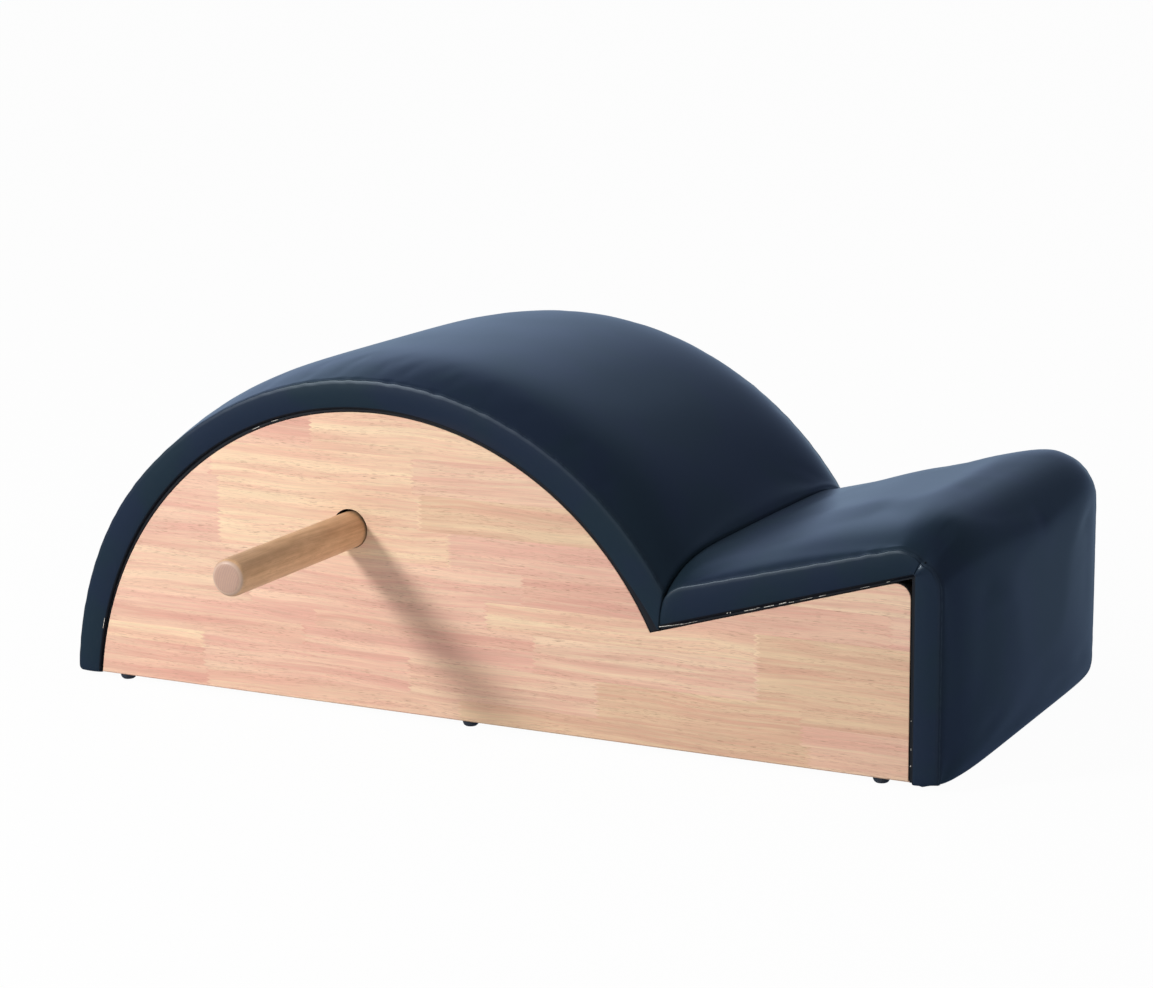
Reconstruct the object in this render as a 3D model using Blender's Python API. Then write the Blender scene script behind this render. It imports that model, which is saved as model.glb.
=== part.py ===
"""Spine corrector: an upholstered barrel and sloped seat on two wooden side panels.

Units are metres. The profile of the side panel is drawn in the panel frame: x from the
panel's rear bottom corner towards the seat end, z up from its bottom edge. The finished
model stands with +X towards the seat end, +Z up, and its origin on the floor below the
middle of its bounding box.
"""
import math

import bmesh
import bpy

# Clearance between pieces that seat on each other
CLEARANCE = 0.0003

# Side panels
BODY_WIDTH = 0.447
PANEL_LENGTH = 0.880
PANEL_THICKNESS = 0.020
PANEL_CHAMFER = 0.0012
ARC_RADIUS = 0.330
ARC_CENTRE_DROP = 0.035
SEAT_RISE = 0.187
SEAT_SLOPE = math.radians(16.6)
PANEL_CORNER_RADIUS = 0.014
ARC_STEPS = 64
CORNER_STEPS = 8

# Plywood under the upholstery
DECK_THICKNESS = 0.009
BOARD_THICKNESS = 0.012
DECK_STEPS = 44

# Upholstery: heights above the panel's edge of the seam round the side band, and of the crown
BARREL_BAND = 0.0312
BARREL_HEIGHT = 0.0478
REAR_BAND = 0.0275
REAR_TAPER_START = 0.70
SEAT_BAND_REAR = 0.0357
SEAT_BAND_FRONT = 0.0276
SEAT_HEIGHT = 0.0542
SEAT_HEIGHT_FRONT = 0.0520
FRONT_BAND = 0.0285
FRONT_DEPTH = 0.0450
SEAM_CORNER_RADIUS = 0.0395
CROWN_CORNER_RADIUS = 0.056
CROWN_POWER = 6.7
CROWN_REACH = 0.026
SEAM_END_DROP = 0.006
FRONT_DROP = 0.0025
BUTT_LEAN = math.radians(8.0)
NOTCH_LIFT = 0.0055
NOTCH_LIFT_REACH = 0.060
PAD_OVERHANG = 0.002
SEAM_INSET = 0.0015
COVER_WALL = 0.0020
LIP_GAP = 0.0015
CORNER_SPREAD = 0.012
PAD_ARC_STEPS = 40
SEAT_STEPS = 13
PAD_CORNER_STEPS = 12
FRONT_STEPS = 9
CROWN_STATIONS = (0.97, 0.90, 0.76, 0.45)
END_DISTANCES = (0.0, 0.003, 0.008, 0.015)

# Removable handles and the blocks that hold them
HANDLE_DIAMETER = 0.036
HANDLE_PLAY = 0.0015
HANDLE_REACH = 0.210
HANDLE_ENGAGEMENT = 0.080
HANDLE_END_RADIUS = 0.0055
HANDLE_TAIL_RADIUS = 0.0020
HANDLE_BACK = 0.026
HANDLE_HEIGHT = 0.1785
HANDLE_SEGMENTS = 32
SOCKET_WALL = 0.020
SOCKET_FLOOR = 0.012
SOCKET_CHAMFER = 0.003

# Cross rails, tenoned into the panels
RAIL_WIDTH = 0.070
RAIL_THICKNESS = 0.020
RAIL_FOOT_GAP = 0.004
TENON_SHOULDER = 0.005
TENON_LENGTH = 0.010
REAR_RAIL_ANGLE = math.radians(135.0)
CREST_RAIL_ANGLE = math.radians(60.0)
SEAT_RAIL_SETBACK = 0.075

# Bolts up through the rails into tee nuts in the plywood
BOLT_RADIUS = 0.0030
BOLT_HEAD_RADIUS = 0.0060
BOLT_HEAD_HEIGHT = 0.0035
BOLT_HEAD_CROWN_SHARE = 0.62
BOLT_HEAD_SIDE_SHARE = 0.45
BOLT_PLAY = 0.0005
BOLT_SPREAD = 0.130
NUT_FLANGE_RADIUS = 0.0095
NUT_FLANGE_THICKNESS = 0.0012
NUT_WALL = 0.0010
NUT_LENGTH = 0.0075
FASTENER_SEGMENTS = 12

# Rubber feet, pushed into the panels' bottom edges
FOOT_RADIUS = 0.0080
FOOT_HEIGHT = 0.0060
FOOT_DOME_SHARE = 0.8
FOOT_TREAD_RADIUS = 0.0040
FOOT_STEM_RADIUS = 0.0030
FOOT_STEM_LENGTH = 0.012
FOOT_REAR_INSET = 0.026
FOOT_FRONT_INSET = 0.030
FOOT_MIDDLE_OFFSET = 0.013
FOOT_SEGMENTS = 16

SMOOTH_ANGLE = math.radians(32.0)

# Sizes that follow from the ones above
ARC_CENTRE_X = math.sqrt(ARC_RADIUS ** 2 - ARC_CENTRE_DROP ** 2)
PANEL_OUTER_Y = BODY_WIDTH / 2
PANEL_INNER_Y = PANEL_OUTER_Y - PANEL_THICKNESS
PAD_HALF_WIDTH = PANEL_OUTER_Y + PAD_OVERHANG
BOARD_HALF_WIDTH = PAD_HALF_WIDTH - COVER_WALL - CLEARANCE
DECK_INNER_RADIUS = ARC_RADIUS + CLEARANCE
DECK_OUTER_RADIUS = DECK_INNER_RADIUS + DECK_THICKNESS
BARREL_POCKET_RADIUS = DECK_OUTER_RADIUS + CLEARANCE
BOARD_OUTER_OFFSET = CLEARANCE + BOARD_THICKNESS
BOARD_POCKET_OFFSET = BOARD_OUTER_OFFSET + CLEARANCE
BORE_RADIUS = HANDLE_DIAMETER / 2 + HANDLE_PLAY
HANDLE_X = ARC_CENTRE_X - HANDLE_BACK
NUT_BORE_RADIUS = BOLT_RADIUS + CLEARANCE
NUT_BARREL_RADIUS = NUT_BORE_RADIUS + NUT_WALL
RAIL_LIFT = FOOT_STEM_LENGTH + RAIL_FOOT_GAP


def finish(name, colour, roughness, metallic=0.0):
    """A plain surface finish."""
    material = bpy.data.materials.new(name)
    material.use_nodes = True
    shader = material.node_tree.nodes["Principled BSDF"]
    shader.inputs["Base Color"].default_value = (*colour, 1.0)
    shader.inputs["Roughness"].default_value = roughness
    shader.inputs["Metallic"].default_value = metallic
    return material


def seat_line(x, offset=0.0):
    """Height at x of the line that lies offset outside the panel's seat edge."""
    fall = math.tan(SEAT_SLOPE) * (PANEL_LENGTH - x)
    return SEAT_RISE - fall + offset / math.cos(SEAT_SLOPE)


def arc_point(radius, angle):
    """Point of a circle about the barrel's centre."""
    x = ARC_CENTRE_X + radius * math.cos(angle)
    z = -ARC_CENTRE_DROP + radius * math.sin(angle)
    return x, z


def seat_crossing(radius, offset=0.0):
    """Angle where a circle about the barrel's centre meets the offset seat line."""
    rise = (seat_line(ARC_CENTRE_X, offset) + ARC_CENTRE_DROP) * math.cos(SEAT_SLOPE)
    return SEAT_SLOPE + math.asin(rise / radius)


def floor_crossing(radius):
    """Angle where a circle about the barrel's centre comes down to the bottom edge at the rear."""
    return math.pi - math.asin(ARC_CENTRE_DROP / radius)


# Foot of the leaning plane on which the barrel's upholstery stops against the seat's
BUTT_FOOT = arc_point(BARREL_POCKET_RADIUS, seat_crossing(BARREL_POCKET_RADIUS, CLEARANCE))
BUTT_DIRECTION = (math.sin(BUTT_LEAN), math.cos(BUTT_LEAN))
NOTCH_X = arc_point(ARC_RADIUS, seat_crossing(ARC_RADIUS))[0]


def front_crossing(radius):
    """Angle where the barrel's cover stops: on the seat edge, and above it on the butt plane."""
    if radius <= BARREL_POCKET_RADIUS:
        return seat_crossing(radius, CLEARANCE)
    foot = (BUTT_FOOT[0] - ARC_CENTRE_X, BUTT_FOOT[1] + ARC_CENTRE_DROP)
    lead = foot[0] * BUTT_DIRECTION[0] + foot[1] * BUTT_DIRECTION[1]
    rise = math.sqrt(lead ** 2 + radius ** 2 - BARREL_POCKET_RADIUS ** 2) - lead
    return math.atan2(foot[1] + rise * BUTT_DIRECTION[1], foot[0] + rise * BUTT_DIRECTION[0])


def seat_rear(offset):
    """Point of the butt plane, on the seat's side, at an offset above the seat edge."""
    rise = (offset - CLEARANCE) / math.cos(BUTT_LEAN + SEAT_SLOPE)
    x = BUTT_FOOT[0] + CLEARANCE + rise * BUTT_DIRECTION[0]
    return x, seat_line(x, offset)


def spaced(start, end, count):
    """Evenly spaced values from start to end, both included."""
    return [start + (end - start) * step / (count - 1) for step in range(count)]


def along(a, b, share):
    """Point at a share of the way from a to b."""
    return tuple(p + (q - p) * share for p, q in zip(a, b))


def rounded_corner(corner, before, after, radius, count):
    """Points of an arc that rounds the corner between the directions before and after."""
    turn = math.acos(before[0] * after[0] + before[1] * after[1])
    tangent = radius * math.tan(turn / 2)
    start = (corner[0] - before[0] * tangent, corner[1] - before[1] * tangent)
    inward = (before[1], -before[0])
    centre = (start[0] + inward[0] * radius, start[1] + inward[1] * radius)
    first = math.atan2(-inward[1], -inward[0])
    angles = spaced(first, first - turn, count)
    return [(centre[0] + radius * math.cos(a), centre[1] + radius * math.sin(a)) for a in angles]


DOWN = (0.0, -1.0)


def panel_outline():
    """The side panel's edge, from the rear bottom corner over the barrel to the front."""
    angles = spaced(floor_crossing(ARC_RADIUS), seat_crossing(ARC_RADIUS), ARC_STEPS)
    outline = [arc_point(ARC_RADIUS, angle) for angle in angles]
    corner = (PANEL_LENGTH, SEAT_RISE)
    forward = (math.cos(SEAT_SLOPE), math.sin(SEAT_SLOPE))
    outline += rounded_corner(corner, forward, DOWN, PANEL_CORNER_RADIUS, CORNER_STEPS)
    outline.append((PANEL_LENGTH, 0.0))
    return outline


def seat_path(rear_offset, seat_offset, front_offset, radius):
    """Line from the butt plane along the seat, round the front corner and down to the bottom.

    The line lies rear_offset above the seat edge at the butt plane and seat_offset above it
    at the corner, and front_offset before the front edge, where it ends a little below the
    panel's. With no radius the corner stays sharp, and its stations spread along both sides.
    """
    corner_x = PANEL_LENGTH + front_offset
    corner = (corner_x, seat_line(corner_x, seat_offset))
    rear = seat_rear(rear_offset)
    seat_length = math.dist(rear, corner)
    forward = ((corner[0] - rear[0]) / seat_length, (corner[1] - rear[1]) / seat_length)
    if radius > 0.0:
        bend = rounded_corner(corner, forward, DOWN, radius, PAD_CORNER_STEPS + 1)
    else:
        bend = []
        for distance in spaced(CORNER_SPREAD, -CORNER_SPREAD, PAD_CORNER_STEPS + 1):
            way = forward if distance > 0.0 else DOWN
            bend.append((corner[0] - way[0] * distance, corner[1] - way[1] * distance))
    foot = (corner_x, -FRONT_DROP)
    seat_length = math.dist(rear, bend[0])
    front_length = math.dist(bend[-1], foot)
    seat_shares = [distance / seat_length for distance in END_DISTANCES]
    seat_shares += [step / SEAT_STEPS for step in range(1, SEAT_STEPS)]
    front_shares = [step / FRONT_STEPS for step in range(1, FRONT_STEPS)]
    front_shares += [1.0 - distance / front_length for distance in reversed(END_DISTANCES)]
    seat_part = [along(rear, bend[0], share) for share in sorted(seat_shares)]
    front_part = [along(bend[-1], foot, share) for share in sorted(front_shares)]
    return seat_part + bend + front_part


def end_rise(distance):
    """Share of the crown that the cover has reached at a distance from its end."""
    if distance >= CROWN_REACH:
        return 1.0
    return math.sqrt(1.0 - (1.0 - distance / CROWN_REACH) ** 2)


def cushion_ring(lip, pocket, seam, crown, rise):
    """One cross-section of a boxed cushion that wraps round the edges of its plywood.

    lip, pocket, seam and crown are the section's points at those levels, and rise is the
    share of the full crown that the section has.
    """
    inner_y = PAD_HALF_WIDTH - COVER_WALL
    seam_y = PAD_HALF_WIDTH - SEAM_INSET
    waist = along(lip, seam, 0.5)
    ring = [(lip, -inner_y), (lip, -PAD_HALF_WIDTH), (waist, -PAD_HALF_WIDTH), (seam, -seam_y)]
    shares = [-share for share in CROWN_STATIONS] + [0.0] + list(reversed(CROWN_STATIONS))
    for share in shares:
        height = rise * (1.0 - abs(share) ** CROWN_POWER)
        ring.append((along(seam, crown, height), share * seam_y))
    ring += [(seam, seam_y), (waist, PAD_HALF_WIDTH), (lip, PAD_HALF_WIDTH), (lip, inner_y)]
    ring += [(pocket, inner_y), (pocket, -inner_y)]
    return [(point[0], y, point[1]) for point, y in ring]


def barrel_cushion_rings():
    """Cross-sections of the barrel's cushion, from the butt plane over the top to the rear."""
    crown_radius = ARC_RADIUS + BARREL_HEIGHT
    seam_radius = ARC_RADIUS + BARREL_BAND
    sweep = floor_crossing(seam_radius) - front_crossing(seam_radius)
    arc_length = sweep * seam_radius
    shares = [distance / arc_length for distance in END_DISTANCES]
    shares += [step / PAD_ARC_STEPS for step in range(1, PAD_ARC_STEPS)]
    shares += [1.0 - distance / arc_length for distance in END_DISTANCES]
    rings = []
    for share in sorted(shares):
        rise = end_rise(min(share, 1.0 - share) * arc_length)
        lift = NOTCH_LIFT * max(0.0, 1.0 - share * arc_length / NOTCH_LIFT_REACH)
        taper = max(0.0, (share - REAR_TAPER_START) / (1.0 - REAR_TAPER_START))
        band = BARREL_BAND + (REAR_BAND - BARREL_BAND) * taper ** 2
        rear_drop = SEAM_END_DROP * (1.0 - rise) if share > 0.5 else 0.0
        lip_radius = ARC_RADIUS + LIP_GAP + lift
        radii = (lip_radius, BARREL_POCKET_RADIUS, ARC_RADIUS + band - rear_drop, crown_radius)
        points = []
        for radius in radii:
            start = front_crossing(radius)
            angle = start + (floor_crossing(radius) - start) * share
            points.append(arc_point(radius, angle))
        rings.append(cushion_ring(*points, rise))
    return rings


def seat_cushion_rings():
    """Cross-sections of the seat's cushion, which runs on down the front."""
    lips = seat_path(LIP_GAP, LIP_GAP, LIP_GAP, 0.0)
    pockets = seat_path(BOARD_POCKET_OFFSET, BOARD_POCKET_OFFSET, BOARD_POCKET_OFFSET, 0.0)
    seams = seat_path(SEAT_BAND_REAR, SEAT_BAND_FRONT, FRONT_BAND, SEAM_CORNER_RADIUS)
    crowns = seat_path(SEAT_HEIGHT, SEAT_HEIGHT_FRONT, FRONT_DEPTH, CROWN_CORNER_RADIUS)
    rings = []
    for lip, pocket, seam, crown in zip(lips, pockets, seams, crowns):
        rise = end_rise(min(math.dist(seam, seams[0]), math.dist(seam, seams[-1])))
        drop = SEAM_END_DROP * (1.0 - rise) / math.dist(seam, pocket)
        rings.append(cushion_ring(lip, pocket, along(seam, pocket, drop), crown, rise))
    return rings


BARREL_RINGS = barrel_cushion_rings()
SEAT_RINGS = seat_cushion_rings()
REAR_REACH = min(point[0] for ring in BARREL_RINGS for point in ring)
FRONT_REACH = max(point[0] for ring in SEAT_RINGS for point in ring)
SHIFT = (-(REAR_REACH + FRONT_REACH) / 2, 0.0, FOOT_HEIGHT + CLEARANCE)


def add_object(name, bm, material, location=(0.0, 0.0, 0.0), rotation=(0.0, 0.0, 0.0), smooth=False):
    """Make an object of the mesh and place it in the panel frame."""
    bmesh.ops.recalc_face_normals(bm, faces=bm.faces)
    mesh = bpy.data.meshes.new(name)
    bm.to_mesh(mesh)
    bm.free()
    if smooth:
        mesh.shade_smooth()
        mesh.set_sharp_from_angle(angle=SMOOTH_ANGLE)
    if material:
        mesh.materials.append(material)
    piece = bpy.data.objects.new(name, mesh)
    piece.location = [place + shift for place, shift in zip(location, SHIFT)]
    piece.rotation_euler = rotation
    bpy.context.scene.collection.objects.link(piece)
    return piece


def make_cutter(piece):
    """Keep a tool shape out of the model."""
    piece.hide_render = True
    piece.display_type = "WIRE"
    return piece


def cut(piece, cutter):
    """Take the cutter's shape out of the piece."""
    modifier = piece.modifiers.new(cutter.name, "BOOLEAN")
    modifier.operation = "DIFFERENCE"
    modifier.solver = "EXACT"
    modifier.object = cutter


def prism(outline, low_y, high_y, chamfer=0.0):
    """Solid between two y values over an outline in the panel frame."""
    bm = bmesh.new()
    face = bm.faces.new([bm.verts.new((x, low_y, z)) for x, z in outline])
    grown = bmesh.ops.extrude_face_region(bm, geom=[face])
    moved = [item for item in grown["geom"] if isinstance(item, bmesh.types.BMVert)]
    bmesh.ops.translate(bm, verts=moved, vec=(0.0, high_y - low_y, 0.0))
    bmesh.ops.recalc_face_normals(bm, faces=bm.faces)
    if chamfer > 0.0:
        rims = [edge for edge in bm.edges if abs(edge.verts[0].co.y - edge.verts[1].co.y) < chamfer]
        bmesh.ops.bevel(bm, geom=rims, offset=chamfer, segments=1, affect="EDGES")
    return bm


def turned(profile, segments, hollow=False):
    """Solid turned about local z from a profile of (radius, height) points."""
    bm = bmesh.new()
    verts = [bm.verts.new((radius, 0.0, height)) for radius, height in profile]
    edges = [bm.edges.new(pair) for pair in zip(verts, verts[1:])]
    if hollow:
        edges.append(bm.edges.new((verts[-1], verts[0])))
    bmesh.ops.spin(bm, geom=verts + edges, cent=(0, 0, 0), axis=(0, 0, 1), angle=2 * math.pi,
                   steps=segments, use_merge=True)
    bmesh.ops.remove_doubles(bm, verts=bm.verts, dist=1e-6)
    return bm


def swept(rings):
    """Solid through a row of equal rings, closed at both ends."""
    bm = bmesh.new()
    rows = [[bm.verts.new(point) for point in ring] for ring in rings]
    count = len(rings[0])
    for near, far in zip(rows, rows[1:]):
        for i in range(count):
            j = (i + 1) % count
            bm.faces.new((near[i], near[j], far[j], far[i]))
    return bm, rows


def cap_section(bm, row):
    """Close an end of a cushion: its two lips, and the face above its pocket."""
    count = len(row)
    pocket_low, pocket_high = row[-1], row[-2]
    lip_low = [row[0], row[1], row[2], pocket_low]
    lip_high = [row[count - 5], row[count - 4], row[count - 3], pocket_high]
    top = [pocket_low] + row[2:count - 4] + [pocket_high]
    for loop in (lip_low, lip_high, top):
        bm.faces.new(loop)


def cushion(name, rings, material):
    """A boxed cushion over its rings."""
    bm, rows = swept(rings)
    cap_section(bm, rows[0])
    cap_section(bm, rows[-1])
    return add_object(name, bm, material, smooth=True)


def quarter_round(centre_radius, centre_height, radius, count):
    """Profile points of an outer rounded edge, from its side up to its top."""
    angles = spaced(0.0, math.pi / 2, count)
    return [(centre_radius + radius * math.cos(a), centre_height + radius * math.sin(a)) for a in angles]


def rail(name, x, z, tilt, material):
    """A cross rail whose top face is centred on (x, z) and faces along tilt from +z."""
    shoulder_y = PANEL_INNER_Y - CLEARANCE
    half = RAIL_WIDTH / 2
    outline = [(-half, -RAIL_THICKNESS), (half, -RAIL_THICKNESS), (half, 0.0), (-half, 0.0)]
    bm = prism(outline, -shoulder_y, shoulder_y)
    ends = [face for face in bm.faces if abs(face.normal.y) > 0.5]
    for face in ends:
        bmesh.ops.inset_region(bm, faces=[face], thickness=TENON_SHOULDER, use_even_offset=True)
        step = math.copysign(TENON_LENGTH, face.normal.y)
        grown = bmesh.ops.extrude_face_region(bm, geom=[face])
        bmesh.ops.delete(bm, geom=[face], context="FACES")
        moved = [item for item in grown["geom"] if isinstance(item, bmesh.types.BMVert)]
        bmesh.ops.translate(bm, verts=moved, vec=(0.0, step, 0.0))
    piece = add_object(name, bm, material, (x, 0.0, z), (0.0, tilt, 0.0))
    reach = PANEL_INNER_Y + TENON_LENGTH + CLEARANCE
    half_slot = half - TENON_SHOULDER + CLEARANCE
    low = -RAIL_THICKNESS + TENON_SHOULDER - CLEARANCE
    high = -TENON_SHOULDER + CLEARANCE
    slot = [(-half_slot, low), (half_slot, low), (half_slot, high), (-half_slot, high)]
    bm = prism(slot, -reach, reach)
    mortise = make_cutter(add_object(name + "_mortise", bm, None, (x, 0.0, z), (0.0, tilt, 0.0)))
    return piece, mortise


def bolt_set(names, rail_piece, board, place, tilt, nut_top, material):
    """A bolt up through a rail into a tee nut let into the board above it.

    The names are the bolt's and the nut's. place is on the rail's underside, and nut_top
    is the height of the nut's flange above it.
    """
    flange_low = nut_top - NUT_FLANGE_THICKNESS
    turn = (0.0, tilt, 0.0)
    head_low = -BOLT_HEAD_HEIGHT - CLEARANCE
    head_side = -BOLT_HEAD_HEIGHT * BOLT_HEAD_SIDE_SHARE - CLEARANCE
    head = [(0.0, head_low), (BOLT_HEAD_RADIUS * BOLT_HEAD_CROWN_SHARE, head_low)]
    head += [(BOLT_HEAD_RADIUS, head_side), (BOLT_HEAD_RADIUS, -CLEARANCE)]
    shank = [(BOLT_RADIUS, -CLEARANCE), (BOLT_RADIUS, flange_low), (0.0, flange_low)]
    bm = turned(head + shank, FASTENER_SEGMENTS)
    add_object(names[0], bm, material, place, turn, smooth=True)
    nut_low = nut_top - NUT_LENGTH
    ring = [(NUT_BORE_RADIUS, nut_low), (NUT_BARREL_RADIUS, nut_low), (NUT_BARREL_RADIUS, flange_low)]
    ring += [(NUT_FLANGE_RADIUS, flange_low), (NUT_FLANGE_RADIUS, nut_top), (NUT_BORE_RADIUS, nut_top)]
    bm = turned(ring, FASTENER_SEGMENTS, hollow=True)
    add_object(names[1], bm, material, place, turn, smooth=True)
    bolt_hole = BOLT_RADIUS + BOLT_PLAY
    nut_hole = NUT_BARREL_RADIUS + CLEARANCE
    pocket = NUT_FLANGE_RADIUS + CLEARANCE
    seam_height = RAIL_THICKNESS + CLEARANCE
    pocket_floor = flange_low - CLEARANCE
    below = -BOLT_HEAD_HEIGHT
    above = nut_top + NUT_LENGTH
    steps = [(0.0, below), (bolt_hole, below), (bolt_hole, seam_height), (nut_hole, seam_height)]
    steps += [(nut_hole, pocket_floor), (pocket, pocket_floor), (pocket, above), (0.0, above)]
    bm = turned(steps, FASTENER_SEGMENTS)
    hole = make_cutter(add_object(names[0] + "_hole", bm, None, place, turn))
    cut(rail_piece, hole)
    cut(board, hole)


def bolt_row(prefix, first, rail_piece, board, top, tilt, nut_top, material):
    """Two bolts, one towards each side of the body, through the middle of a rail.

    top is the (x, z) of the rail's top face, and first is the number of the first bolt.
    """
    x = top[0] - RAIL_THICKNESS * math.sin(tilt)
    z = top[1] - RAIL_THICKNESS * math.cos(tilt)
    for step, y in enumerate((-BOLT_SPREAD, BOLT_SPREAD)):
        names = (f"{prefix}_bolt_{first + step}", f"{prefix}_tee_nut_{first + step}")
        bolt_set(names, rail_piece, board, (x, y, z), tilt, nut_top, material)


def handle(name, side, material):
    """A removable dowel, rounded at its outer end, lying on the bottom of its bore."""
    radius = HANDLE_DIAMETER / 2
    tail = -HANDLE_ENGAGEMENT
    profile = [(0.0, tail), (radius - HANDLE_TAIL_RADIUS, tail), (radius, tail + HANDLE_TAIL_RADIUS)]
    core = radius - HANDLE_END_RADIUS
    profile += quarter_round(core, HANDLE_REACH - HANDLE_END_RADIUS, HANDLE_END_RADIUS, 6)
    profile.append((0.0, HANDLE_REACH))
    bm = turned(profile, HANDLE_SEGMENTS)
    place = (HANDLE_X, side * PANEL_OUTER_Y, HANDLE_HEIGHT - HANDLE_PLAY + CLEARANCE)
    add_object(name, bm, material, place, (-side * math.pi / 2, 0.0, 0.0), smooth=True)


def handle_socket(name, side, panel, material):
    """A block glued behind the panel, with a blind bore in line with the panel's hole."""
    depth = HANDLE_ENGAGEMENT - PANEL_THICKNESS + CLEARANCE
    half = BORE_RADIUS + SOCKET_WALL
    outline = [(-half, -half), (half, -half), (half, half), (-half, half)]
    outer = PANEL_INNER_Y - CLEARANCE
    inner = PANEL_INNER_Y - depth - SOCKET_FLOOR
    low_y, high_y = sorted((side * inner, side * outer))
    bm = prism(outline, low_y, high_y, SOCKET_CHAMFER)
    block = add_object(name, bm, material, (HANDLE_X, 0.0, HANDLE_HEIGHT))
    bottom = -PANEL_THICKNESS - depth
    profile = [(0.0, bottom), (BORE_RADIUS, bottom), (BORE_RADIUS, PANEL_THICKNESS), (0.0, PANEL_THICKNESS)]
    bm = turned(profile, HANDLE_SEGMENTS)
    place = (HANDLE_X, side * PANEL_OUTER_Y, HANDLE_HEIGHT)
    bore = make_cutter(add_object(name + "_bore", bm, None, place, (-side * math.pi / 2, 0.0, 0.0)))
    cut(block, bore)
    cut(panel, bore)


def foot(name, x, side, panel, material):
    """A domed rubber foot whose stem is pushed up into the panel's bottom edge."""
    y = side * (PANEL_OUTER_Y - PANEL_THICKNESS / 2)
    top = -CLEARANCE
    tread = top - FOOT_HEIGHT
    profile = [(0.0, tread), (FOOT_TREAD_RADIUS, tread)]
    dome = FOOT_HEIGHT * FOOT_DOME_SHARE
    reach = FOOT_RADIUS - FOOT_TREAD_RADIUS
    for angle in spaced(-math.pi / 2, 0.0, 5)[1:]:
        height = tread + dome * (1.0 + math.sin(angle))
        profile.append((FOOT_TREAD_RADIUS + reach * math.cos(angle), height))
    profile += [(FOOT_RADIUS, top), (FOOT_STEM_RADIUS, top), (FOOT_STEM_RADIUS, FOOT_STEM_LENGTH)]
    profile.append((0.0, FOOT_STEM_LENGTH))
    bm = turned(profile, FOOT_SEGMENTS)
    add_object(name, bm, material, (x, y, 0.0), smooth=True)
    hole = FOOT_STEM_RADIUS + CLEARANCE
    end = FOOT_STEM_LENGTH + CLEARANCE
    bm = turned([(0.0, -FOOT_HEIGHT), (hole, -FOOT_HEIGHT), (hole, end), (0.0, end)], FOOT_SEGMENTS)
    cut(panel, make_cutter(add_object(name + "_hole", bm, None, (x, y, 0.0))))


def barrel_deck(material):
    """Bent plywood over the arc, from the notch to the rear bottom edge."""
    radii = (DECK_INNER_RADIUS, DECK_OUTER_RADIUS)
    sides = []
    for radius in radii:
        angles = spaced(seat_crossing(radius, CLEARANCE), floor_crossing(radius), DECK_STEPS + 1)
        sides.append([arc_point(radius, angle) for angle in angles])
    bm = prism(sides[0] + sides[1][::-1], -BOARD_HALF_WIDTH, BOARD_HALF_WIDTH)
    return add_object("barrel_deck", bm, material, smooth=True)


def seat_board(material):
    """Flat plywood under the seat, running out over the front board."""
    front = PANEL_LENGTH + BOARD_OUTER_OFFSET
    outline = [seat_rear(CLEARANCE), (front, seat_line(front, CLEARANCE))]
    outline += [(front, seat_line(front, BOARD_OUTER_OFFSET)), seat_rear(BOARD_OUTER_OFFSET)]
    bm = prism(outline, -BOARD_HALF_WIDTH, BOARD_HALF_WIDTH)
    return add_object("seat_board", bm, material)


def front_board(material):
    """Flat plywood against the panels' front edges, under the seat board."""
    back = PANEL_LENGTH + CLEARANCE
    face = PANEL_LENGTH + BOARD_OUTER_OFFSET
    outline = [(back, 0.0), (face, 0.0), (face, seat_line(face)), (back, seat_line(back))]
    bm = prism(outline, -BOARD_HALF_WIDTH, BOARD_HALF_WIDTH)
    return add_object("front_board", bm, material)


def side_panel(name, side, material):
    """A flat wooden side, arched over the barrel and sloped under the seat."""
    low_y, high_y = sorted((side * PANEL_INNER_Y, side * PANEL_OUTER_Y))
    bm = prism(panel_outline(), low_y, high_y, PANEL_CHAMFER)
    return add_object(name, bm, material, smooth=True)


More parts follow.
